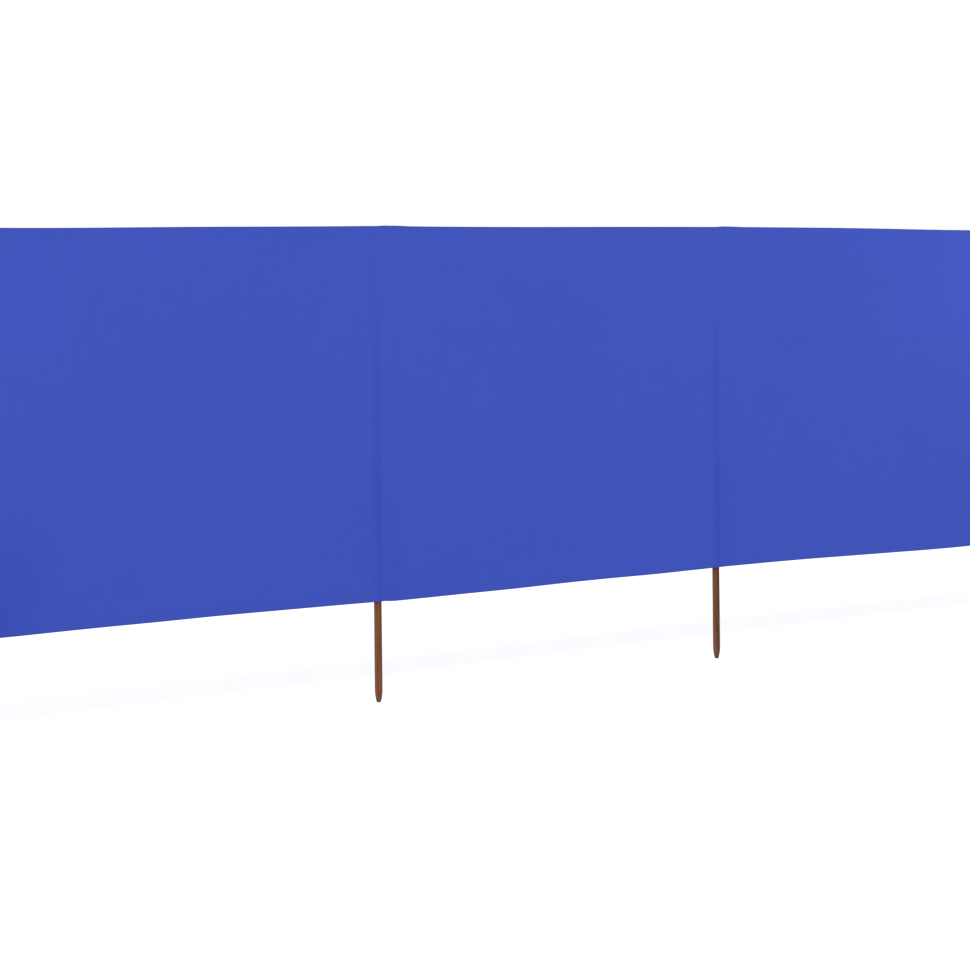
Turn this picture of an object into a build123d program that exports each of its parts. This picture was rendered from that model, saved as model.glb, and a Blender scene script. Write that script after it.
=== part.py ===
"""A fabric windbreak: bays of cloth held up by pointed wooden posts.

X runs along the windbreak, Y from the plain face of the cloth to its sleeved back, and Z up.
The origin is the middle of the blunt foot of the centre post. All lengths are in millimetres.
"""

import os
from math import acos, atan2, cos, degrees, hypot, sin, tan

from build123d import *

# Bays
bay_count = 6
bay_pitch = 1330.0

# Posts: round stakes, rounded at the top and drawn to a blunt point at the foot
post_diameter = 25.0
bare_stake = 320.0
point_length = 40.0
foot_diameter = 13.0
foot_round = 1.5
post_top_round = 8.0

# Cloth: one sheet a bay, hung between the posts, its upper and lower edges turned to the back
cloth_height = 1200.0
cloth_thickness = 0.8
top_edge_sag = 4.0
hem_width = 25.0
hem_end_gap = 2.0

# Sleeves: a pocket behind each post, snug on one side and slack on the other, sewn down by its flaps
post_clearance = 0.3
sleeve_headroom = 4.0
sleeve_slack = 38.0
seam_flap = 9.0

# Worked out from the sizes above
post_radius = post_diameter / 2
foot_radius = foot_diameter / 2
post_places = [(number - bay_count / 2) * bay_pitch for number in range(bay_count + 1)]

cloth_foot = bare_stake
cloth_top = bare_stake + cloth_height

seat_radius = post_radius + post_clearance
sleeve_radius = seat_radius + cloth_thickness
post_top = cloth_top - cloth_thickness - sleeve_headroom
pocket_round = post_top_round + post_clearance

snug_reach = sleeve_radius + seam_flap
slack_seam = sleeve_radius + sleeve_slack
slack_reach = slack_seam + seam_flap

# The slack side of a sleeve leaves the round of the post at this angle and runs straight to its seam
slope_angle = atan2(-seat_radius, slack_seam) + acos(sleeve_radius / hypot(seat_radius, slack_seam))
slack_corner = slack_seam - cloth_thickness * tan(slope_angle)


def save(part, name):
    """Label a finished piece and write it under its own name."""
    part.label = name
    export_step(part, f"parts/{name}.step")


def build_post():
    """A turned stake at X = 0: blunt foot, ogive point, straight shank, rounded top."""
    with BuildPart() as post:
        with BuildSketch(Plane.XZ) as profile:
            with BuildLine():
                point = TangentArc((post_radius, point_length), (foot_radius, 0), tangent=(0, -1))
                Polyline(point @ 1, (0, 0), (0, post_top), (post_radius, post_top), point @ 0)
            make_face()
            rim = profile.vertices().group_by(Axis.Y)[-1].sort_by(Axis.X)[-1]
            fillet(rim, radius=post_top_round)
            foot_corner = profile.vertices().group_by(Axis.Y)[0].sort_by(Axis.X)[-1]
            fillet(foot_corner, radius=foot_round)
        revolve(axis=Axis.Z)
    return post.part


def build_pocket(radius, top, end_round):
    """The space inside one skin of a sleeve, from the cloth's back to the skin, closed by a rounded end."""
    seam = (radius + seat_radius * sin(slope_angle)) / cos(slope_angle)
    with BuildPart() as pocket:
        with BuildSketch(Plane.XY.offset(cloth_foot)):
            with BuildLine():
                side = Line((-radius, -seat_radius), (-radius, 0))
                wrap = CenterArc((0, 0), radius, 180, degrees(slope_angle) - 180)
                slope = Line(wrap @ 1, (seam, -seat_radius))
                Line(slope @ 1, side @ 0)
            make_face()
        extrude(amount=top - cloth_foot)
        end_edges = pocket.edges().group_by(Axis.Z)[-1]
        fillet(end_edges.sort_by(Axis.Y)[1:], radius=end_round)
    return pocket.part


def build_sleeve():
    """The pocket behind the post at X = 0, open below and towards the cloth, with its two seam flaps."""
    skin = build_pocket(sleeve_radius, cloth_top, pocket_round + cloth_thickness)
    hollow = build_pocket(seat_radius, cloth_top - cloth_thickness, pocket_round)
    flap_height = cloth_height - pocket_round - cloth_thickness
    with BuildPart() as sleeve:
        add(skin)
        add(hollow, mode=Mode.SUBTRACT)
        with BuildSketch(Plane.XY.offset(cloth_foot)):
            with Locations((-snug_reach, -seat_radius)):
                Rectangle(snug_reach - seat_radius, cloth_thickness, align=(Align.MIN, Align.MIN))
            with Locations((slack_corner, -seat_radius)):
                Rectangle(slack_reach - slack_corner, cloth_thickness, align=(Align.MIN, Align.MIN))
        extrude(amount=flap_height)
    return sleeve.part


def build_panel(left, right, end_margins, hem_left, hem_right):
    """One bay's sheet in front of the posts: upper edge sagging, upper and lower edges turned to the back."""
    middle = (left + right) / 2
    hem_middle = (hem_left + hem_right) / 2
    hem_span = hem_right - hem_left
    low_point = cloth_top - top_edge_sag
    with BuildPart() as panel:
        with BuildSketch(Plane.XZ.offset(seat_radius)):
            with BuildLine():
                edge = ThreePointArc((left, cloth_top), (middle, low_point), (right, cloth_top))
                Polyline(edge @ 1, (right, cloth_foot), (left, cloth_foot), edge @ 0)
            make_face()
            for margin_middle in end_margins:
                with Locations((margin_middle, cloth_foot + cloth_height / 2)):
                    Rectangle(snug_reach, cloth_height)
        extrude(amount=cloth_thickness)
        with BuildSketch(Plane.XZ.offset(seat_radius)):
            with BuildLine():
                edge = ThreePointArc((left, cloth_top), (middle, low_point), (right, cloth_top))
                turn = ThreePointArc(
                    (left, cloth_top - hem_width),
                    (middle, low_point - hem_width),
                    (right, cloth_top - hem_width),
                )
                Line(edge @ 0, turn @ 0)
                Line(edge @ 1, turn @ 1)
            make_face()
            with Locations((hem_middle, cloth_top)):
                Rectangle(hem_span, cloth_height, mode=Mode.INTERSECT)
            with Locations((hem_middle, cloth_foot + hem_width / 2)):
                Rectangle(hem_span, hem_width)
        extrude(amount=-cloth_thickness)
    return panel.part


os.makedirs("parts", exist_ok=True)

post = build_post()
sleeve = build_sleeve()

for number, place in enumerate(post_places):
    with BuildPart() as placed_post:
        with Locations((place, 0, 0)):
            add(post)
    save(placed_post.part, f"post_{number + 1}")

    # The sleeve of the last post is turned over, so that the slack of every sleeve lies within the bays
    with BuildPart() as placed_sleeve:
        with Locations((place, 0, 0)):
            add(sleeve)
        if number == bay_count:
            mirror(about=Plane.YZ.offset(place), mode=Mode.REPLACE)
    save(placed_sleeve.part, f"post_sleeve_{number + 1}")

for number in range(bay_count):
    left = post_places[number]
    right = post_places[number + 1]
    hem_left = left + slack_reach + hem_end_gap
    hem_right = right - snug_reach - hem_end_gap
    end_margins = []
    if number == 0:
        end_margins.append(left - snug_reach / 2)
    if number == bay_count - 1:
        end_margins.append(right + snug_reach / 2)
        hem_right = right - slack_reach - hem_end_gap
    panel = build_panel(left, right, end_margins, hem_left, hem_right)
    save(panel, f"cloth_panel_{number + 1}")
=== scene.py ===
"""The windbreak dressed for its picture: hemmed cloth, sewn sleeves, stitches and stained posts.

X runs along the windbreak, -Y is its plain front and Z is up. Lengths are in metres, and small ones are
written as millimetres times MM. The places of the posts and of the cloth's edges come from the frame.
"""

import math
import random

import bpy
import numpy as np
from mathutils import Matrix, Vector


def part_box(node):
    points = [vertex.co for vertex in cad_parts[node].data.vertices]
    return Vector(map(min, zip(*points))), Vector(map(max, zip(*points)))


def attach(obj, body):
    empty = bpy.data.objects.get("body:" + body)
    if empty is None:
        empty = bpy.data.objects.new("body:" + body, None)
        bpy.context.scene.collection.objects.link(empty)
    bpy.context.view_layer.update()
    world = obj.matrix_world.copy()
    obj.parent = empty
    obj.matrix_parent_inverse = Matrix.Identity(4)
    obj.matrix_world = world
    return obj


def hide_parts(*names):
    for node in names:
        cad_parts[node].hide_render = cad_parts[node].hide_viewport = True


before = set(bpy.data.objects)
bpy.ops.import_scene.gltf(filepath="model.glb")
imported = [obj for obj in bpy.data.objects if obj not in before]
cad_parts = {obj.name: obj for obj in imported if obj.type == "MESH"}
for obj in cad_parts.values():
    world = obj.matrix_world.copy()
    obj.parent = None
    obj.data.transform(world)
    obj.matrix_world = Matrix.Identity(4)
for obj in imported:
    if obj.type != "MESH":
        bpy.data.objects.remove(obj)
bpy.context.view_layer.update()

MM = 0.001
BODY = "root"
seeded = random.Random(11)

# Places and heights from the frame
post_names = sorted(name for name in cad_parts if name.startswith("post_") and "sleeve" not in name)
panel_names = sorted(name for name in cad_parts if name.startswith("cloth_panel_"))
sleeve_names = sorted(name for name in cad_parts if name.startswith("post_sleeve_"))
first_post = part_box(post_names[0])
first_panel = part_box(panel_names[0])
first_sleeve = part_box(sleeve_names[0])

post_places = np.array([sum(corner.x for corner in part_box(name)) / 2 for name in post_names])
post_radius = (first_post[1].x - first_post[0].x) / 2
post_top = first_post[1].z
bay_pitch = post_places[1] - post_places[0]
last_post = len(post_names) - 1
last_bay = len(panel_names) - 1

cloth_front = first_panel[0].y
cloth_foot = first_panel[0].z
cloth_top = first_panel[1].z
cloth_height = cloth_top - cloth_foot
cloth_ends = (first_panel[0].x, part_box(panel_names[-1])[1].x)
snug_reach = post_places[0] - first_sleeve[0].x
slack_reach = first_sleeve[1].x - post_places[0]

# Cloth: one layer, and the hems folded to the back
cloth_thickness = 0.4 * MM
fold_radius = 0.4 * MM
hem_width = 25 * MM
hem_end_gap = 2 * MM
cloth_middle = cloth_front + cloth_thickness / 2

# Sleeves: the strip of cloth behind each post, its flaps, its closed upper end and its turned-up foot.
# The closed end keeps a small share of the pocket's depth, for the seam inside it.
seam_flap = 9 * MM
flap_bend = 1.5 * MM
sleeve_gap = 0.3 * MM
sleeve_dome = 18 * MM
closed_depth = 0.02
sleeve_hem = 12 * MM
slack_bow = 1.6 * MM
slack_sway = 0.9 * MM
sway_length = 310 * MM
sway_step = 1.7
sleeve_radius = post_radius + sleeve_gap + cloth_thickness / 2
flap_middle = cloth_middle + 1.1 * cloth_thickness
slack_seam = slack_reach - seam_flap
snug_stitches = snug_reach - seam_flap / 2
slack_stitches = slack_reach - seam_flap / 2

# Posts: the rounded top, the point and its blunt foot, and how strongly each took the stain
top_round = 8 * MM
point_length = 40 * MM
foot_radius = 6.5 * MM
foot_round = 1.5 * MM
foot_edge_inset = 0.9 * foot_round
foot_edge_turn = 0.8 * math.pi / 2
stain_tones = (0.6, 0.3, 0.8, 0.5, 0.2, 0.7, 0.45)

# A post is a little flat on opposite sides, by turns up its length: how far, how many, and the turns in
# radians a metre.
out_of_round = 0.12 * MM
flat_sides = 2
flat_twist = 3.0
flat_drift = 5.2

# Stitches: lockstitch seen from either face, drawn in thread twice the real width so that it shows
stitch_pitch = 6 * MM
stitch_length = 4.6 * MM
thread_width = 0.7 * MM
thread_rise = cloth_thickness / 2 + 0.2 * thread_width
hem_stitches = hem_width - 4 * MM
sleeve_hem_stitches = sleeve_hem - 3 * MM
seam_foot_gap = 6 * MM
seam_top_gap = 9 * MM
row_points = 120
bead_sides = 6
bead_rings = 3

# Camera, from a fit to the posts and the edges of the cloth in the photograph
photo_pixels = 970
focal_pixels = 1953.2
horizon_row = 276.0
camera_place = Vector((-2.7665, -5.6062, 1.3577))
camera_yaw = math.radians(29.509)
camera_roll = math.radians(-0.614)


def ease(low, high, value):
    """Rise smoothly from 0 at low to 1 at high."""
    share = np.clip((value - low) / (high - low), 0, 1)
    return share * share * (3 - 2 * share)


def slack_hand(number):
    """1 where the slack of a post's sleeve lies towards +X, and -1 at the last post, where it is turned."""
    return np.where(np.asarray(number) == last_post, -1, 1)


def nearest_post(x):
    """The number of the post nearest to each x."""
    return np.abs(np.asarray(x)[..., None] - post_places).argmin(axis=-1)


def post_offset(x):
    """Signed distance along X from the nearest post, positive towards the slack side of its sleeve."""
    nearest = nearest_post(x)
    return (x - post_places[nearest]) * slack_hand(nearest)


def bay_share(x):
    """Which bay each x lies in, and how far across it, from 0 to 1."""
    bay = np.clip(np.floor((x - post_places[0]) / bay_pitch), 0, last_bay).astype(int)
    return bay, np.clip((x - post_places[bay]) / bay_pitch, 0, 1)


# How the cloth hangs
# At each post the cloth has slipped a few millimetres up or down. Between posts its upper edge sags and its
# lower edge bows, and beside a post the lower edge drops where the slack of the sleeve pulls on it.
upper_slips = np.array([-2.0, 1.5, -7.5, 1.0, 2.0, -7.2, 0.5]) * MM
lower_slips = np.array([3.0, -2.0, 9.0, 2.5, 2.0, -14.0, 2.0]) * MM
foot_drops = np.array([1.5, 2.0, 0.0, 3.0, 0.0, 2.0, 1.5]) * MM
upper_sags = np.array([3.0, 2.0, 1.6, 1.7, -1.2, 2.5]) * MM
lower_bows = np.array([2.0, -2.5, 3.3, -0.9, -0.3, -1.5]) * MM

# Each edge also keeps one small wave in each bay: its half waves from post to post, and its height.
upper_half_waves = np.array([4, 2, 3, 2, 3, 4])
upper_wave_heights = np.array([0.5, 0.6, -0.6, -0.6, -0.5, -0.5]) * MM
lower_half_waves = np.array([2, 3, 2, 4, 2, 3])
lower_wave_heights = np.array([0.8, -0.8, -0.9, 0.9, 0.9, 0.7]) * MM

# The sheet stands a little forward over a post, and the gathered end of a sleeve lifts the upper edge about
# its slack seam.
post_ridge = 0.7 * MM
ridge_flat = 4 * MM
ridge_reach = 17 * MM
gather_rise = 1.7 * MM
gather_depth = 30 * MM
gather_full = (36 * MM, 66 * MM)
gather_end = 135 * MM

# Within held_reach of a post the sheet lies flat, and beyond free_reach it hangs free.
held_reach = 25 * MM
free_reach = 180 * MM

# Broad, shallow waves that slack cloth keeps: direction, length, phase and height of each.
slack_wave_count = 9
slack_waves = []
for _ in range(slack_wave_count):
    slack_waves.append((
        seeded.uniform(-0.5, 0.5),
        seeded.uniform(0.28, 0.8),
        seeded.uniform(0, 2 * math.pi),
        seeded.uniform(0.35, 0.85) * MM,
    ))

# Each bay bellies to one side, least along its edges. Pleats fan out from its upper corners, and its foot
# ripples.
bay_bellies = np.array([seeded.uniform(-3, 3) * MM for _ in panel_names])
edge_belly_share = 0.35
pleat_turns = np.array([seeded.uniform(0, 2 * math.pi) for _ in range(2 * len(panel_names))])
pleat_count = 11
pleat_height = 1.0 * MM
pleat_start = 40 * MM
pleat_full = 200 * MM
pleat_reach = 420 * MM
hem_wave_height = 1.8 * MM
hem_wave_length = 460 * MM
hem_wave_reach = 240 * MM


def hang(x, z):
    """How far the sheet leans to the back at x and z: waves, belly, pleats and loose foot."""
    bay, share = bay_share(x)
    fall = cloth_top - z
    waves = np.zeros_like(x)
    for direction, length, phase, height in slack_waves:
        along = x * math.cos(direction) + z * math.sin(direction)
        waves += height * np.sin(2 * math.pi * along / length + phase)
    fullness = edge_belly_share + (1 - edge_belly_share) * np.sin(math.pi * fall / cloth_height)
    belly = bay_bellies[bay] * np.sin(math.pi * share) ** 2 * fullness
    ripple = np.sin(2 * math.pi * x / hem_wave_length + bay)
    loose_foot = hem_wave_height * ripple * np.exp(-(z - cloth_foot) / hem_wave_reach)
    pleats = np.zeros_like(x)
    for side, run in enumerate((share * bay_pitch, (1 - share) * bay_pitch)):
        reach = np.hypot(run, fall)
        fan = np.cos(pleat_count * np.arctan2(fall, run) + pleat_turns[2 * bay + side])
        pleats += fan * np.exp(-(reach / pleat_reach) ** 2) * ease(pleat_start, pleat_full, reach)
    free = ease(held_reach, free_reach, np.abs(post_offset(x)))
    return free * (waves + belly + loose_foot + pleat_height * pleats)


def ridge(x):
    """How far the sheet stands forward where it passes over a post."""
    return post_ridge * (1 - ease(ridge_flat, ridge_reach, np.abs(post_offset(x))))


def gathered_lift(x):
    """How far the gathered end of a sleeve lifts the upper edge on the slack side of its post."""
    offset = post_offset(x)
    full_from, full_to = gather_full
    return gather_rise * ease(0, full_from, offset) * (1 - ease(full_to, gather_end, offset))


def foot_drop(x):
    """How far the lower edge drops beside a post, on the slack side of its sleeve."""
    offset = post_offset(x)
    rise = ease(post_radius, slack_reach, offset)
    return foot_drops[nearest_post(x)] * rise * (1 - ease(2 * slack_reach, bay_pitch / 2, offset))


def between_posts(values, x):
    """Pass smoothly from the value at one post to the value at the next."""
    bay, share = bay_share(x)
    return values[bay] + (values[bay + 1] - values[bay]) * ease(0, 1, share)


def sheet_place(x, share, layer):
    """Places on the sheet's middle surface, by x and share of its height. Layer 0 is its front, 1 a hem."""
    bay, across = bay_share(x)
    arch = 4 * across * (1 - across)
    upper_wave = upper_wave_heights[bay] * np.sin(math.pi * upper_half_waves[bay] * across)
    lower_wave = lower_wave_heights[bay] * np.sin(math.pi * lower_half_waves[bay] * across)
    top = cloth_top + between_posts(upper_slips, x) - upper_sags[bay] * arch + upper_wave
    bow = lower_bows[bay] * arch + lower_wave
    foot = cloth_foot + between_posts(lower_slips, x) + bow - foot_drop(x)
    lift = gathered_lift(x) * ease(1 - gather_depth / cloth_height, 1, share)
    z = foot + share * (top - foot) + lift
    y = cloth_middle + 2 * fold_radius * layer + hang(x, z) - ridge(x)
    return np.stack(np.broadcast_arrays(x, y, z), axis=-1)


# Meshes
# A grid's steps, close together at its ends and wider between: the first, the widest, and their growth.
sheet_columns = (3 * MM, 12.5 * MM, 1.18)
sheet_rows = (1.2 * MM, 13 * MM, 1.4)
sleeve_rows = (2 * MM, 14 * MM, 1.4)

# Steps round the parts of a sleeve, over a hem and its fold, and up the parts of a post
flap_steps = 4
bend_steps = 3
side_steps = 4
wrap_steps = 18
slack_steps = 12
dome_rows = 12
hem_shares = (1, 0.75, 0.5, 0.25, 0.1, 0)
fold_steps = 4
post_sides = 40
foot_edge_steps = 4
point_steps = 14
shank_steps = 90
top_steps = 6

# Angles, in degrees, past which an edge is crisp
cloth_crease = 50
wood_crease = 60
thread_crease = 80

# Shares of the height between which the painted shade of what backs the sheet stops showing, how far to
# the side it shows, and how deep the slack's painted shade is
post_shows = (0.45, 0.95)
slack_shows = (0, 0.45)
post_blurs = (0.6 * post_radius, 1.2 * post_radius)
slack_blurs = (slack_reach, 1.3 * slack_reach)
slack_depth = 0.5

# How much painted light makes the cloth paler at each post, and the shares of the height between which that
# grows
painted_light_levels = np.array([0.6, 0.3, 0.5, 0.0, 0.0, 1.0, 0.4])
painted_light_grows = (0.35, 0.75)

# How deep the painted shade about the foot of each post is, and the reach over which that fades out.
# It reaches up farther than along, with a border that is ragged in a few lobes.
foot_shade_levels = np.array([0.5, 0.2, 1.0, 0.0, 0.0, 0.3, 0.5])
foot_shade_fades = (110 * MM, 340 * MM)
foot_shade_rise = 1.6
foot_shade_lobes = 5
foot_shade_ragged = 0.12

# How far from a seam, a hem's stitches or a folded edge the cloth still shows it: the puckers, the painted
# shade beside a seam and the darker folded edge
seam_fade = 7 * MM
hem_fade = 9 * MM
sleeve_hem_fade = 5 * MM
edge_fade = 1.8 * MM


def graded(length, fine, coarse, growth):
    """Positions from 0 to length, close together at both ends and wider between."""
    half = []
    position = 0
    step = fine
    while position < length / 2 - coarse / 3:
        half.append(position)
        position += step
        step = min(step * growth, coarse)
    return np.array(half + [length / 2] + [length - place for place in reversed(half)])


def make_piece(name, points, faces, material, spread=None, marks=None):
    """A mesh object at the origin, with the cut's UV map and point attributes where they are given."""
    mesh = bpy.data.meshes.new(name)
    mesh.from_pydata(points, [], faces)
    if spread is not None:
        corners = np.zeros(len(mesh.loops), int)
        mesh.loops.foreach_get("vertex_index", corners)
        flat_places = np.asarray(spread, np.float32)[corners]
        mesh.uv_layers.new(name="cut").data.foreach_set("uv", flat_places.ravel())
    for title, values in (marks or {}).items():
        values = np.asarray(values, np.float32)
        kind, field = ("FLOAT", "value") if values.ndim == 1 else ("FLOAT_VECTOR", "vector")
        mesh.attributes.new(title, kind, "POINT").data.foreach_set(field, values.ravel())
    mesh.materials.append(material)
    piece = bpy.data.objects.new(name, mesh)
    bpy.context.collection.objects.link(piece)
    return piece


def settle(piece, crease):
    """Turn a piece and its modifiers into a plain mesh, smooth but for edges sharper than the crease."""
    graph = bpy.context.evaluated_depsgraph_get()
    mesh = bpy.data.meshes.new_from_object(piece.evaluated_get(graph), depsgraph=graph)
    piece.modifiers.clear()
    piece.data = mesh
    mesh.shade_smooth()
    mesh.set_sharp_from_angle(angle=math.radians(crease))
    return piece


def thicken(piece, thickness):
    """Give a cloth surface its thickness, half to each side."""
    solid = piece.modifiers.new("thickness", "SOLIDIFY")
    solid.thickness = thickness
    solid.offset = 0
    return settle(piece, cloth_crease)


def grid_faces(rows, columns, keep=lambda row, column: True):
    """Quads over a grid of points, row by row, where keep says so."""
    faces = []
    for row in range(rows - 1):
        for column in range(columns - 1):
            if keep(row, column):
                corner = row * columns + column
                faces.append((corner, corner + 1, corner + columns + 1, corner + columns))
    return faces


def used_only(points, faces, *tables):
    """Drop the points that no face uses, and the same rows of each table."""
    used = np.unique(np.array(faces))
    place = np.full(len(points), -1)
    place[used] = np.arange(len(used))
    return [points[used], place[np.array(faces)].tolist()] + [table[used] for table in tables]


def fold_rows(turned_edge, direction, turned):
    """Rows round a turned hem, from its sewn-down edge to the fold: share of the height and layer of each."""
    rows = []
    for inset_share in hem_shares:
        rows.append((fold_radius + (turned - fold_radius) * inset_share, 1.0))
    for step in range(1, fold_steps):
        angle = math.pi * step / fold_steps
        rows.append((fold_radius - fold_radius * math.sin(angle), (1 + math.cos(angle)) / 2))
    return [(turned_edge + direction * inset / cloth_height, layer) for inset, layer in rows]


def flat_run(shares, layers):
    """How far each row lies from the first, measured along the cloth laid flat."""
    steps = np.hypot(np.diff(shares) * cloth_height, np.diff(layers) * 2 * fold_radius)
    return np.concatenate([[0], np.cumsum(steps)])


def sheet_span(number):
    """Where a bay's sheet begins and ends: at its posts, or past an end post at the end of the cloth."""
    left = cloth_ends[0] if number == 0 else post_places[number]
    right = cloth_ends[1] if number == last_bay else post_places[number + 1]
    return left, right


def hem_span(number):
    """Where a bay's hems begin and end: just inside the flaps of the sleeves beside them."""
    left = post_places[number] + slack_reach + hem_end_gap
    right = post_places[number + 1] - (slack_reach if number == last_bay else snug_reach) - hem_end_gap
    return left, right


def seam_nearness(offset):
    """1 on the two seams of a sleeve, falling off beside them."""
    to_seam = np.minimum(np.abs(offset + snug_stitches), np.abs(offset - slack_stitches))
    return np.exp(-to_seam / seam_fade)


def backing_shade(offset, share):
    """Painted shade where something lies behind the sheet: the post and, low down, its sleeve's slack."""
    on_post = 1 - ease(*post_blurs, np.abs(offset))
    on_slack = ease(post_radius, slack_seam / 2, offset) * (1 - ease(*slack_blurs, offset))
    post = on_post * (1 - ease(*post_shows, share))
    slack = on_slack * (1 - ease(*slack_shows, share))
    return np.maximum(post, slack_depth * slack)


def painted_light_at(x, share):
    """How much painted light makes the cloth paler at x, most along its upper edge."""
    return between_posts(painted_light_levels, x) ** 2 * ease(*painted_light_grows, share)


def foot_shade(x, share):
    """How deep the painted shade is at x, about the foot of a post."""
    nearest = nearest_post(x)
    along = post_offset(x)
    up = share * cloth_height / foot_shade_rise
    border = 1 + foot_shade_ragged * np.sin(foot_shade_lobes * np.arctan2(up, along) + nearest)
    return foot_shade_levels[nearest] * (1 - ease(*foot_shade_fades, border * np.hypot(along, up)))


def build_sheet(number, material):
    """One bay of the cloth, with both edges folded to the back between the sleeves' flaps."""
    left, right = sheet_span(number)
    hem_left, hem_right = hem_span(number)
    columns = left + graded(right - left, *sheet_columns)
    columns[np.abs(columns - hem_left).argmin()] = hem_left
    columns[np.abs(columns - hem_right).argmin()] = hem_right
    # A column close beside each end of the hems keeps the raw edge level with the fold.
    columns = np.sort(np.append(columns, (hem_left - fold_radius, hem_right + fold_radius)))
    unhemmed = (columns < hem_left - fold_radius / 2) | (columns > hem_right + fold_radius / 2)

    foot_rows = fold_rows(0, 1, hem_width)
    top_rows = fold_rows(1, -1, hem_width)[::-1]
    front = (fold_radius + graded(cloth_height - 2 * fold_radius, *sheet_rows)) / cloth_height
    rows = foot_rows + [(share, 0.0) for share in front] + top_rows
    first_front = len(foot_rows)
    last_front = first_front + len(front) - 1
    shares, layers = np.array(rows).T
    x, share = np.meshgrid(columns, shares)
    share[first_front, unhemmed] = 0
    share[last_front, unhemmed] = 1
    points = sheet_place(x, share, layers[:, None])
    spread = np.stack(np.meshgrid(columns, flat_run(shares, layers)), axis=-1)

    def keep(row, column):
        hemmed = not unhemmed[column] and not unhemmed[column + 1]
        return hemmed or first_front <= row < last_front

    faces = grid_faces(len(rows), len(columns), keep)
    offset = post_offset(x)
    from_edge = np.minimum(share, 1 - share) * cloth_height
    marks = {
        # Painted shade: of the post and slack behind the sheet, and about the foot of some posts.
        "backed": np.maximum(backing_shade(offset, share), foot_shade(x, share)),
        # Painted light: paler towards the upper edge at some posts.
        "bleached": painted_light_at(x, share),
        "near_seam": seam_nearness(offset),
        "near_hem": np.exp(-np.abs(from_edge - hem_stitches) / hem_fade),
        "at_edge": np.exp(-from_edge / edge_fade),
        "height": share,
    }
    table = np.stack([values.ravel() for values in marks.values()], axis=-1)
    points, faces, spread, table = used_only(points.reshape(-1, 3), faces, spread.reshape(-1, 2), table)
    sheet = make_piece(f"cloth_bay_{number + 1}", points, faces, material, spread, dict(zip(marks, table.T)))
    return thicken(sheet, cloth_thickness)


def sleeve_outline():
    """The sleeve's strip seen from above, from its snug edge round the back of the post to its slack edge."""
    depth = flap_middle
    lean = math.atan2(depth, slack_seam) + math.acos(sleeve_radius / math.hypot(depth, slack_seam))
    outline = [(-snug_reach + seam_flap * step / flap_steps, depth) for step in range(flap_steps)]
    for step in range(bend_steps + 1):
        angle = math.pi / 2 * step / bend_steps
        left = flap_bend * (1 - math.sin(angle))
        back = flap_bend * (1 - math.cos(angle))
        outline.append((-sleeve_radius - left, depth + back))
    for step in range(1, side_steps):
        outline.append((-sleeve_radius, (depth + flap_bend) * (1 - step / side_steps)))
    for step in range(wrap_steps + 1):
        angle = math.pi + (lean - math.pi) * step / wrap_steps
        outline.append((sleeve_radius * math.cos(angle), sleeve_radius * math.sin(angle)))
    # The slack side runs to its seam and flattens gently onto the cloth as it nears it.
    start = Vector(outline[-1])
    end = Vector((slack_seam, depth))
    for step in range(1, slack_steps + 1):
        share = step / slack_steps
        point = start.lerp(end, share)
        bow = slack_bow * share * math.sin(math.pi * share) ** 2
        outline.append((point.x, max(depth, point.y - bow)))
    for step in range(1, flap_steps + 1):
        outline.append((slack_seam + seam_flap * step / flap_steps, depth))
    return np.array(outline)


def outline_normals(outline):
    """Outward directions along a sleeve's outline, away from the cloth and the post."""
    along = np.gradient(outline, axis=0)
    along /= np.hypot(along[:, 0], along[:, 1])[:, None]
    return np.stack([-along[:, 1], along[:, 0]], axis=-1)


def sleeve_points(number, shares, layers):
    """Places on a sleeve for rows of its height, with 0 for its main layer and 1 for the turned-up hem."""
    outline = sleeve_outline()
    stood_off = outline + 2 * fold_radius * layers[:, None, None] * outline_normals(outline)
    across = stood_off[..., 0]
    stand = stood_off[..., 1] - flap_middle
    share = np.repeat(shares[:, None], len(outline), axis=1)
    x = post_places[number] + slack_hand(number) * across
    ground = sheet_place(x, share, 0.0)
    up = share * cloth_height
    into_dome = np.clip((up - (cloth_height - sleeve_dome)) / sleeve_dome, 0, 1)
    lift = np.maximum((1 - into_dome ** 3) ** (1 / 3), closed_depth)
    off_cloth = ease(flap_bend / 2, 2 * flap_bend, stand)
    slack = ease(post_radius, slack_seam, across) * off_cloth
    sway = slack_sway * slack * np.sin(2 * math.pi * up / sway_length + sway_step * number)
    y = flap_middle + lift * (stand + sway) + (ground[..., 1] - cloth_middle) * (1 - off_cloth)
    return np.stack([x, y, ground[..., 2]], axis=-1)


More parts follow.
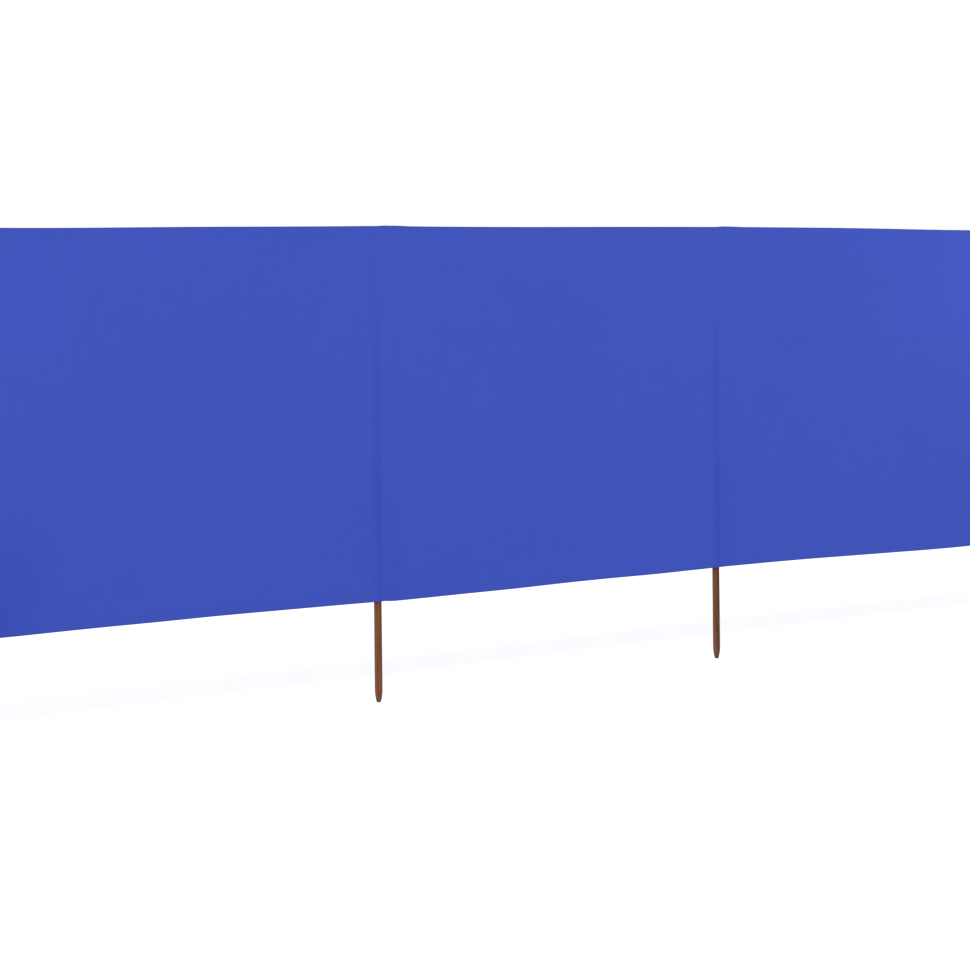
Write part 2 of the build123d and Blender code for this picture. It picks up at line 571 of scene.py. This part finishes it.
def build_sleeve(number, material):
    """The strip sewn behind one post: two flaps, a pocket round the post and its rounded, closed end."""
    outline = sleeve_outline()
    rows = fold_rows(0, 1, sleeve_hem)
    tube_height = cloth_height - sleeve_dome
    tube = fold_radius + graded(tube_height - fold_radius, *sleeve_rows)
    dome = tube_height + sleeve_dome * np.sin(np.linspace(0, math.pi / 2, dome_rows + 1)[1:])
    rows += [(up / cloth_height, 0.0) for up in [*tube, *dome]]
    shares, layers = np.array(rows).T
    points = sleeve_points(number, shares, layers)
    share = np.repeat(shares, len(outline))
    width = np.concatenate([[0], np.cumsum(np.hypot(*np.diff(outline, axis=0).T))])
    length = flat_run(shares, layers)
    spread = np.stack(np.meshgrid(post_places[number] + width, length), axis=-1)
    faces = grid_faces(len(rows), len(outline))
    if slack_hand(number) > 0:
        faces = [face[::-1] for face in faces]
    x = points[..., 0].ravel()
    marks = {
        # Painted shade about the foot of some posts.
        "backed": foot_shade(x, share),
        "bleached": painted_light_at(x, share),
        "near_seam": seam_nearness(np.tile(outline[:, 0], len(rows))),
        "near_hem": np.exp(-np.abs(share * cloth_height - sleeve_hem_stitches) / sleeve_hem_fade),
        "at_edge": np.exp(-share * cloth_height / edge_fade),
        "height": share,
    }
    sleeve = make_piece(
        f"sleeve_{number + 1}", points.reshape(-1, 3), faces, material, spread.reshape(-1, 2), marks
    )
    return thicken(sleeve, cloth_thickness), (width[-1], length[-1])


def post_profile(top):
    """Radius and height of a post, ring by ring, from its blunt foot to its rounded top."""
    drawn_in = post_radius - foot_radius
    bow_radius = (point_length ** 2 + drawn_in ** 2) / (2 * drawn_in)
    foot_flat = foot_radius - foot_edge_inset
    rings = [(foot_flat / 2, 0.0)]
    for step in range(foot_edge_steps + 1):
        angle = foot_edge_turn * step / foot_edge_steps
        rings.append((foot_flat + foot_round * math.sin(angle), foot_round * (1 - math.cos(angle))))
    rounded = rings[-1][1]
    for step in range(1, point_steps + 1):
        height = rounded + (point_length - rounded) * step / point_steps
        inset = bow_radius - math.sqrt(bow_radius ** 2 - (point_length - height) ** 2)
        rings.append((post_radius - inset, height))
    shoulder = top - top_round
    for step in range(1, shank_steps + 1):
        rings.append((post_radius, point_length + (shoulder - point_length) * step / shank_steps))
    for step in range(1, top_steps + 1):
        angle = math.pi / 2 * step / top_steps
        inset = top_round * (1 - math.cos(angle))
        rings.append((post_radius - inset, shoulder + top_round * math.sin(angle)))
    return rings


def build_post(number, material):
    """One turned stake, very slightly out of round, with the marks that its grain and stain follow."""
    place = post_places[number]
    top = post_top + upper_slips[number]
    profile = post_profile(top)
    # Where in the trunk the stake was cut, and how it is turned about its own axis.
    heart = Vector((seeded.uniform(25, 60) * MM, seeded.uniform(-30, 30) * MM, seeded.uniform(0, 3)))
    spin = seeded.uniform(0, 2 * math.pi)
    points = []
    grain = []
    for radius, height in profile:
        for side in range(post_sides):
            angle = 2 * math.pi * side / post_sides
            flat = math.sin(flat_sides * angle + flat_twist * height + spin)
            uneven = abs(flat * math.sin(flat_drift * height + spin))
            reach = radius - out_of_round * uneven * radius / post_radius
            points.append((place + reach * math.cos(angle), reach * math.sin(angle), height))
            turned = angle + spin
            grain.append(heart + Vector((reach * math.cos(turned), reach * math.sin(turned), height)))
    faces = []
    for ring in range(len(profile) - 1):
        low = ring * post_sides
        for side in range(post_sides):
            after = (side + 1) % post_sides
            faces.append((low + side, low + after, low + post_sides + after, low + post_sides + side))
    for height, ring, downward in ((0.0, 0, True), (top, len(profile) - 1, False)):
        middle = len(points)
        points.append((place, 0.0, height))
        grain.append(heart + Vector((0, 0, height)))
        for side in range(post_sides):
            rim = (ring * post_sides + side, ring * post_sides + (side + 1) % post_sides)
            faces.append((middle, rim[1], rim[0]) if downward else (middle, *rim))
    marks = {"grain_place": np.array(grain), "tone": np.full(len(points), stain_tones[number])}
    post = make_piece(f"timber_post_{number + 1}", points, faces, material, None, marks)
    return settle(post, wood_crease)


# Node trees and stitches
def add_node(tree, kind, inputs=None, **settings):
    """Add a node with its settings. An input is a value, or the pair of a node and the name of its output."""
    node = tree.nodes.new(kind)
    for name, value in settings.items():
        setattr(node, name, value)
    for name, value in (inputs or {}).items():
        socket = next(s for s in node.inputs if name in (s.identifier, s.name))
        if isinstance(value, tuple) and isinstance(value[0], bpy.types.Node):
            source = next(s for s in value[0].outputs if value[1] in (s.identifier, s.name))
            tree.links.new(source, socket)
        else:
            socket.default_value = value
    return node


def stitch_tree():
    """Geometry nodes that lay a row of stitches along every edge run of a mesh."""
    tree = bpy.data.node_groups.new("lockstitch", "GeometryNodeTree")
    sockets = {}
    for title, kind in (
        ("Rows", "NodeSocketGeometry"),
        ("Pitch", "NodeSocketFloat"),
        ("Length", "NodeSocketFloat"),
        ("Thread", "NodeSocketFloat"),
        ("Material", "NodeSocketMaterial"),
    ):
        sockets[title] = tree.interface.new_socket(title, in_out="INPUT", socket_type=kind).identifier
    tree.interface.new_socket("Stitches", in_out="OUTPUT", socket_type="NodeSocketGeometry")
    rows = add_node(tree, "NodeGroupInput")
    runs = add_node(tree, "GeometryNodeMeshToCurve", {"Mesh": (rows, "Rows")})
    places = add_node(tree, "GeometryNodeCurveToPoints", {
        "Curve": (runs, "Curve"), "Length": (rows, "Pitch"),
    }, mode="LENGTH")
    bead = add_node(tree, "GeometryNodeMeshUVSphere", {
        "Segments": bead_sides, "Rings": bead_rings, "Radius": 0.5,
    })
    size = add_node(tree, "ShaderNodeCombineXYZ", {
        "X": (rows, "Thread"), "Y": (rows, "Thread"), "Z": (rows, "Length"),
    })
    stitch = add_node(tree, "GeometryNodeTransform", {"Geometry": (bead, "Mesh"), "Scale": (size, "Vector")})
    laid = add_node(tree, "GeometryNodeInstanceOnPoints", {
        "Points": (places, "Points"),
        "Instance": (stitch, "Geometry"),
        "Rotation": (places, "Rotation"),
    })
    real = add_node(tree, "GeometryNodeRealizeInstances", {"Geometry": (laid, "Instances")})
    coloured = add_node(tree, "GeometryNodeSetMaterial", {
        "Geometry": (real, "Geometry"), "Material": (rows, "Material"),
    })
    add_node(tree, "NodeGroupOutput", {"Stitches": (coloured, "Geometry")})
    return tree, sockets


def sew(name, rows, tree, sockets, material):
    """Stitches along each row of points, as one plain mesh."""
    edges = []
    first = 0
    for row in rows:
        edges += [(first + step, first + step + 1) for step in range(len(row) - 1)]
        first += len(row)
    mesh = bpy.data.meshes.new(name)
    mesh.from_pydata(np.concatenate(rows), edges, [])
    piece = bpy.data.objects.new(name, mesh)
    bpy.context.collection.objects.link(piece)
    nodes = piece.modifiers.new("lockstitch", "NODES")
    nodes.node_group = tree
    nodes[sockets["Pitch"]] = stitch_pitch
    nodes[sockets["Length"]] = stitch_length
    nodes[sockets["Thread"]] = thread_width
    nodes[sockets["Material"]] = material
    return settle(piece, thread_crease)


def hem_rows(number):
    """The stitch rows along a bay's upper and lower hems, on the front and on the turned-back layer."""
    left, right = hem_span(number)
    x = np.linspace(left + stitch_pitch, right - stitch_pitch, row_points)
    rows = []
    for share in (hem_stitches / cloth_height, 1 - hem_stitches / cloth_height):
        for layer, rise in ((0.0, -thread_rise), (1.0, thread_rise)):
            rows.append(sheet_place(x, np.full_like(x, share), layer) + (0, rise, 0))
    return rows


def seam_rows(number):
    """The stitch rows down both seams of a sleeve, on the cloth's front and on the flaps, and at its foot."""
    share = np.linspace(seam_foot_gap, cloth_height - seam_top_gap, row_points) / cloth_height
    rows = []
    for offset in (-snug_stitches, slack_stitches):
        x = np.full_like(share, post_places[number] + slack_hand(number) * offset)
        seam = sheet_place(x, share, 0.0)
        rows.append(seam - (0, thread_rise, 0))
        rows.append(seam + (0, flap_middle - cloth_middle + thread_rise, 0))
    foot_share = np.array([sleeve_hem_stitches / cloth_height])
    foot_layer = np.array([1 + thread_rise / (2 * fold_radius)])
    rows.append(sleeve_points(number, foot_share, foot_layer)[0, 2:-2])
    return rows


# Materials
# A wave texture of scale 1 turns through this many radians in a metre.
wave_turns = 20


def linear(hex_colour):
    """An sRGB hex colour as linear red, green, blue and alpha."""
    values = [int(hex_colour[place:place + 2], 16) / 255 for place in (1, 3, 5)]
    return tuple(v / 12.92 if v <= 0.04045 else ((v + 0.055) / 1.055) ** 2.4 for v in values) + (1.0,)


def wave_scale(period):
    """The scale at which a wave texture repeats once in a period, in metres."""
    return 2 * math.pi / (wave_turns * period)


def spot_scale(*sizes):
    """The scale along each axis at which a noise has spots of these sizes, in metres."""
    return tuple(1 / size for size in sizes)


def new_material(name):
    """An empty node material, with its tree."""
    material = bpy.data.materials.new(name)
    material.use_nodes = True
    material.node_tree.nodes.clear()
    return material, material.node_tree


def toned(tree, colour, parts):
    """A colour times several tones. A part is what a tone follows, its range, and the tones at its ends."""
    for source, low, high, low_tone, high_tone in parts:
        tone = add_node(tree, "ShaderNodeMapRange", {
            "Value": source, "From Min": low, "From Max": high, "To Min": low_tone, "To Max": high_tone,
        })
        scaled = add_node(tree, "ShaderNodeVectorMath", {
            "Vector": colour, "Scale": (tone, "Result"),
        }, operation="SCALE")
        colour = (scaled, "Vector")
    return colour


def woven_polyester(name, shade, painted_shade_blue):
    """Plain-woven polyester, piece-dyed: a matt, even blue of fine crossing threads, with painted light that
    makes it a little paler towards the upper edge and painted shade that makes it duller at the foot. The
    threads are about 0.6 mm apart on the real cloth and are drawn 2.4 mm apart, so that they show in a close
    view. Painted shade deepens the thin cloth where a post or a sleeve lies behind it and about the foot of
    some posts."""
    thread = 2.4 * MM
    slub = 110 * MM
    dye_patch = 600 * MM
    pucker = 16 * MM
    material, tree = new_material(name)
    cut = add_node(tree, "ShaderNodeUVMap", uv_map="cut")
    mark = {}
    for title in ("backed", "bleached", "near_seam", "near_hem", "at_edge", "height"):
        mark[title] = (add_node(tree, "ShaderNodeAttribute", attribute_name=title), "Fac")

    # Threads one way and the other, slubs where single threads are thicker, and puckers beside seams.
    threads = []
    slubs = []
    puckers = []
    for way, slub_sizes, seam in (
        ("X", (thread, slub, slub), mark["near_hem"]),
        ("Y", (slub, thread, slub), mark["near_seam"]),
    ):
        threads.append((add_node(tree, "ShaderNodeTexWave", {
            "Vector": (cut, "UV"), "Scale": wave_scale(thread), "Distortion": 0.35, "Detail Scale": 0.6,
        }, bands_direction=way), "Fac"))
        slub_place = add_node(tree, "ShaderNodeMapping", {
            "Vector": (cut, "UV"), "Scale": spot_scale(*slub_sizes),
        })
        slubs.append((add_node(tree, "ShaderNodeTexNoise", {
            "Vector": (slub_place, "Vector"), "Scale": 1.0, "Detail": 2.0,
        }), "Fac"))
        folds = add_node(tree, "ShaderNodeTexWave", {
            "Vector": (cut, "UV"), "Scale": wave_scale(pucker), "Distortion": 2.5, "Detail Scale": 0.8,
        }, bands_direction=way)
        puckers.append((add_node(tree, "ShaderNodeMath", {
            "Value": (folds, "Fac"), "Value_001": seam,
        }, operation="MULTIPLY"), "Value"))
    over = add_node(tree, "ShaderNodeTexChecker", {"Vector": (cut, "UV"), "Scale": 1 / thread})
    weave = add_node(tree, "ShaderNodeMix", {
        "Factor_Float": (over, "Fac"), "A_Float": threads[0], "B_Float": threads[1],
    })
    slubbed = add_node(tree, "ShaderNodeMath", {"Value": slubs[0], "Value_001": slubs[1]}, operation="ADD")
    drawn_up = add_node(tree, "ShaderNodeMath", {
        "Value": puckers[0], "Value_001": puckers[1],
    }, operation="MAXIMUM")

    dye = add_node(tree, "ShaderNodeTexNoise", {"Vector": (cut, "UV"), "Scale": 1 / dye_patch, "Detail": 3.0})
    # Painted shade: the deeper blue where a post or a sleeve lies behind the cloth, and about the foot of
    # some posts.
    dyed = add_node(tree, "ShaderNodeMix", {
        "Factor_Float": mark["backed"], "A_Color": linear(shade), "B_Color": linear(painted_shade_blue),
    }, data_type="RGBA")
    colour = toned(tree, (dyed, "Result_Color"), (
        # Painted light and shade: lighter towards the upper edge and darker towards the foot.
        (mark["height"], 0.0, 1.0, 0.985, 1.025),
        # Painted light: paler towards the upper edge at some posts.
        (mark["bleached"], 0.0, 1.0, 1.0, 1.085),
        # The crossing threads, with painted shade in the gaps between them.
        ((weave, "Result_Float"), 0.0, 1.0, 0.9, 1.06),
        ((slubbed, "Value"), 0.6, 1.4, 0.94, 1.06),
        ((dye, "Fac"), 0.3, 0.7, 0.98, 1.02),
        # Painted shade along the sleeves' seams.
        (mark["near_seam"], 0.35, 1.0, 1.0, 0.95),
        # Darker along the folded edges.
        (mark["at_edge"], 0.0, 1.0, 1.0, 0.72),
    ))
    gathered = add_node(tree, "ShaderNodeBump", {
        "Strength": 0.5, "Distance": 1.0 * MM, "Height": (drawn_up, "Value"),
    })
    woven = add_node(tree, "ShaderNodeBump", {
        "Strength": 0.3,
        "Distance": 0.25 * MM,
        "Height": (weave, "Result_Float"),
        "Normal": (gathered, "Normal"),
    })
    rough = add_node(tree, "ShaderNodeMapRange", {
        "Value": (weave, "Result_Float"), "From Min": 0.0, "From Max": 1.0, "To Min": 0.92, "To Max": 0.8,
    })
    cloth = add_node(tree, "ShaderNodeBsdfPrincipled", {
        "Base Color": colour,
        "Roughness": (rough, "Result"),
        "Normal": (woven, "Normal"),
        "IOR": 1.45,
        "Specular IOR Level": 0.25,
        "Sheen Weight": 0.06,
        "Sheen Roughness": 0.45,
        "Sheen Tint": linear("#B9C4F2"),
    })
    add_node(tree, "ShaderNodeOutputMaterial", {"Surface": (cloth, "BSDF")})
    return material


def polyester_thread(name):
    """Twisted polyester sewing thread, a shade deeper than the cloth, with the slight gloss of filament."""
    twist = 0.5 * MM
    lay_angle = 0.7
    material, tree = new_material(name)
    place = add_node(tree, "ShaderNodeTexCoord")
    turned = add_node(tree, "ShaderNodeMapping", {
        "Vector": (place, "Object"), "Rotation": (0.0, lay_angle, 0.0),
    })
    strands = add_node(tree, "ShaderNodeTexWave", {
        "Vector": (turned, "Vector"), "Scale": wave_scale(twist),
    }, bands_direction="DIAGONAL")
    colour = add_node(tree, "ShaderNodeMix", {
        "Factor_Float": (strands, "Fac"), "A_Color": linear("#2C3D95"), "B_Color": linear("#4459BE"),
    }, data_type="RGBA")
    raised = add_node(tree, "ShaderNodeBump", {
        "Strength": 0.3, "Distance": 0.1 * MM, "Height": (strands, "Fac"),
    })
    thread = add_node(tree, "ShaderNodeBsdfPrincipled", {
        "Base Color": (colour, "Result_Color"), "Roughness": 0.5, "Normal": (raised, "Normal"), "IOR": 1.5,
    })
    add_node(tree, "ShaderNodeOutputMaterial", {"Surface": (thread, "BSDF")})
    return material


def stained_pine(name):
    """Turned pine stake, brushed with brown wood stain: growth rings about 3.6 mm apart run as streaks up the
    shank and open into ovals on the point, hair cracks follow the grain, painted shade darkens the wood just
    below the cloth's lower edge, the cut end grain at the foot drinks more stain, and the edge of the foot is
    rubbed pale."""
    ring_gap = 3.6 * MM
    ring_taper = 0.06
    cloth_shade_reach = 28 * MM
    foot_stain = 34 * MM
    foot_wear = 30 * MM
    material, tree = new_material(name)
    place = add_node(tree, "ShaderNodeAttribute", attribute_name="grain_place")
    tone = add_node(tree, "ShaderNodeAttribute", attribute_name="tone")
    tapered = add_node(tree, "ShaderNodeMapping", {"Vector": (place, "Vector"), "Scale": (1, 1, ring_taper)})
    rings = add_node(tree, "ShaderNodeTexWave", {
        "Vector": (tapered, "Vector"),
        "Scale": wave_scale(ring_gap),
        "Distortion": 3.0,
        "Detail": 2.0,
        "Detail Scale": 0.35,
    }, wave_type="RINGS", rings_direction="Z")

    # Spots of noise drawn out along the grain: their size across and along it, and how fine they break up.
    noise = {}
    for title, across, along, detail in (
        ("fibres", 0.6 * MM, 70 * MM, 3.0),
        ("bands", 6 * MM, 600 * MM, 2.0),
        ("cracks", 9 * MM, 450 * MM, 1.0),
        ("stain", 17 * MM, 200 * MM, 4.0),
        ("wear", 4 * MM, 8 * MM, 3.0),
    ):
        drawn_out = add_node(tree, "ShaderNodeMapping", {
            "Vector": (place, "Vector"), "Scale": spot_scale(across, across, along),
        })
        noise[title] = (add_node(tree, "ShaderNodeTexNoise", {
            "Vector": (drawn_out, "Vector"), "Scale": 1.0, "Detail": detail,
        }), "Fac")
    # A hair crack runs wherever the noise passes through one narrow band of its values.
    crack = add_node(tree, "ShaderNodeMath", {
        "Value": noise["cracks"], "Value_001": 0.56, "Value_002": 0.012,
    }, operation="COMPARE")

    spot = add_node(tree, "ShaderNodeTexCoord")
    axes = add_node(tree, "ShaderNodeSeparateXYZ", {"Vector": (spot, "Object")})
    ringed = add_node(tree, "ShaderNodeMix", {
        "Factor_Float": (rings, "Fac"), "A_Color": linear("#6B3F24"), "B_Color": linear("#8B5732"),
    }, data_type="RGBA")
    stained = toned(tree, (ringed, "Result_Color"), (
        (noise["fibres"], 0.35, 0.65, 0.8, 1.12),
        (noise["stain"], 0.3, 0.7, 0.86, 1.1),
        ((tone, "Fac"), 0.0, 1.0, 0.88, 1.08),
        (noise["bands"], 0.35, 0.65, 0.72, 1.28),
        ((crack, "Value"), 0.0, 1.0, 1.0, 0.6),
        # Painted shade just below the cloth's lower edge.
        ((axes, "Z"), cloth_foot - cloth_shade_reach, cloth_foot, 1.0, 0.7),
    ))

    # The foot: darker end grain, and pale bare wood where its edge is rubbed.
    end_grain = add_node(tree, "ShaderNodeMapRange", {
        "Value": (axes, "Z"), "From Min": 0.0, "From Max": foot_stain, "To Min": 0.9, "To Max": 0.0,
    }, interpolation_type="SMOOTHSTEP")
    darkened = add_node(tree, "ShaderNodeMix", {
        "Factor_Float": (end_grain, "Result"), "A_Color": stained, "B_Color": linear("#47403D"),
    }, data_type="RGBA")
    low_down = add_node(tree, "ShaderNodeMapRange", {
        "Value": (axes, "Z"), "From Min": 0.0, "From Max": foot_wear, "To Min": 0.4, "To Max": 0.0,
    })
    worn_spots = add_node(tree, "ShaderNodeMapRange", {
        "Value": noise["wear"], "From Min": 0.58, "From Max": 0.68, "To Min": 0.0, "To Max": 1.0,
    })
    rubbed = add_node(tree, "ShaderNodeMath", {
        "Value": (low_down, "Result"), "Value_001": (worn_spots, "Result"),
    }, operation="MULTIPLY")
    finished = add_node(tree, "ShaderNodeMix", {
        "Factor_Float": (rubbed, "Value"),
        "A_Color": (darkened, "Result_Color"),
        "B_Color": linear("#B08C6C"),
    }, data_type="RGBA")

    grown = add_node(tree, "ShaderNodeMath", {
        "Value": noise["fibres"], "Value_001": (rings, "Fac"),
    }, operation="ADD")
    relief = add_node(tree, "ShaderNodeMath", {
        "Value": (grown, "Value"), "Value_001": (crack, "Value"),
    }, operation="SUBTRACT")
    grain = add_node(tree, "ShaderNodeBump", {
        "Strength": 0.35, "Distance": 0.25 * MM, "Height": (relief, "Value"),
    })
    rough = add_node(tree, "ShaderNodeMapRange", {
        "Value": noise["fibres"], "From Min": 0.3, "From Max": 0.7, "To Min": 0.62, "To Max": 0.42,
    })
    wood = add_node(tree, "ShaderNodeBsdfPrincipled", {
        "Base Color": (finished, "Result_Color"),
        "Roughness": (rough, "Result"),
        "Normal": (grain, "Normal"),
        "IOR": 1.5,
        "Specular IOR Level": 0.18,
    })
    add_node(tree, "ShaderNodeOutputMaterial", {"Surface": (wood, "BSDF")})
    return material


# Stage, light and camera
floor_reach = 60.0
floor_lift = 0.4
light_level = 0.82
lamp_level = 0.8
lamp_spread = math.radians(40)
lamp_aim = Vector((0.4, 0.6, -0.75))


def seen_rays(tree):
    """1 for rays that see a surface, also mirrored or through glass, and 0 for those that light things."""
    rays = add_node(tree, "ShaderNodeLightPath")
    seen = (rays, "Is Camera Ray")
    for kind in ("Is Glossy Ray", "Is Transmission Ray"):
        either = add_node(tree, "ShaderNodeMath", {
            "Value": seen, "Value_001": (rays, kind),
        }, operation="MAXIMUM")
        seen = (either, "Value")
    return seen


def white_floor():
    """A pale studio floor that keeps the object's shadow and reads as white where nothing shades it."""
    mesh = bpy.data.meshes.new("studio_floor")
    corners = [(x * floor_reach, y * floor_reach, 0) for x, y in ((-1, -1), (1, -1), (1, 1), (-1, 1))]
    mesh.from_pydata(corners, [], [(0, 1, 2, 3)])
    floor = bpy.data.objects.new("studio_floor", mesh)
    bpy.context.collection.objects.link(floor)
    material, tree = new_material("studio_paper")
    paper = add_node(tree, "ShaderNodeBsdfDiffuse", {"Color": linear("#F4F4F4")})
    lift = add_node(tree, "ShaderNodeMath", {
        "Value": seen_rays(tree), "Value_001": floor_lift,
    }, operation="MULTIPLY")
    glow = add_node(tree, "ShaderNodeEmission", {"Strength": (lift, "Value")})
    both = add_node(tree, "ShaderNodeAddShader", {
        "Shader": (paper, "BSDF"), "Shader_001": (glow, "Emission"),
    })
    add_node(tree, "ShaderNodeOutputMaterial", {"Surface": (both, "Shader")})
    mesh.materials.append(material)


def soft_light():
    """Even white surroundings, and a wide soft lamp from high on the front left."""
    world = bpy.data.worlds.new("studio")
    world.use_nodes = True
    tree = world.node_tree
    tree.nodes.clear()
    strength = add_node(tree, "ShaderNodeMapRange", {
        "Value": seen_rays(tree), "To Min": light_level, "To Max": 1.0,
    })
    surround = add_node(tree, "ShaderNodeBackground", {
        "Color": linear("#FFFFFF"), "Strength": (strength, "Result"),
    })
    add_node(tree, "ShaderNodeOutputWorld", {"Surface": (surround, "Background")})
    bpy.context.scene.world = world
    lamp = bpy.data.lights.new("soft_lamp", "SUN")
    lamp.energy = lamp_level
    lamp.angle = lamp_spread
    lamp_object = bpy.data.objects.new("soft_lamp", lamp)
    lamp_object.rotation_euler = lamp_aim.to_track_quat("-Z", "Y").to_euler()
    bpy.context.collection.objects.link(lamp_object)


def photo_camera():
    """The camera of the photograph: level, a little rolled, its horizon above the middle of the frame."""
    data = bpy.data.cameras.new("photo_camera")
    data.lens = focal_pixels / photo_pixels * data.sensor_width
    data.shift_y = -(photo_pixels / 2 - horizon_row) / photo_pixels
    camera = bpy.data.objects.new("photo_camera", data)
    level = Matrix.Rotation(-camera_yaw, 4, "Z") @ Matrix.Rotation(math.pi / 2, 4, "X")
    camera.matrix_world = Matrix.Translation(camera_place) @ level @ Matrix.Rotation(camera_roll, 4, "Z")
    bpy.context.collection.objects.link(camera)
    bpy.context.scene.camera = camera


# The object
# The second blue is the deeper blue of the painted shade.
cloth_blue = woven_polyester("woven_polyester_royal_blue", "#3C52BB", "#374DB7")
thread_blue = polyester_thread("polyester_thread_deep_blue")
brown_wood = stained_pine("stained_pine_brown")
lockstitch, lockstitch_inputs = stitch_tree()

for number, node in enumerate(post_names):
    post = build_post(number, brown_wood)
    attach(post, BODY)
    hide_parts(node)

for number, node in enumerate(panel_names):
    bay = build_sheet(number, cloth_blue)
    hems = hem_rows(number)
    stitches = sew(f"hem_stitches_{number + 1}", hems, lockstitch, lockstitch_inputs, thread_blue)
    for piece in (bay, stitches):
        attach(piece, BODY)
    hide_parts(node)

for number, node in enumerate(sleeve_names):
    sleeve, strip = build_sleeve(number, cloth_blue)
    seams = seam_rows(number)
    stitches = sew(f"sleeve_stitches_{number + 1}", seams, lockstitch, lockstitch_inputs, thread_blue)
    for piece in (sleeve, stitches):
        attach(piece, BODY)
    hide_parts(node)

white_floor()
soft_light()
photo_camera()
bpy.context.scene.view_settings.view_transform = "Standard"
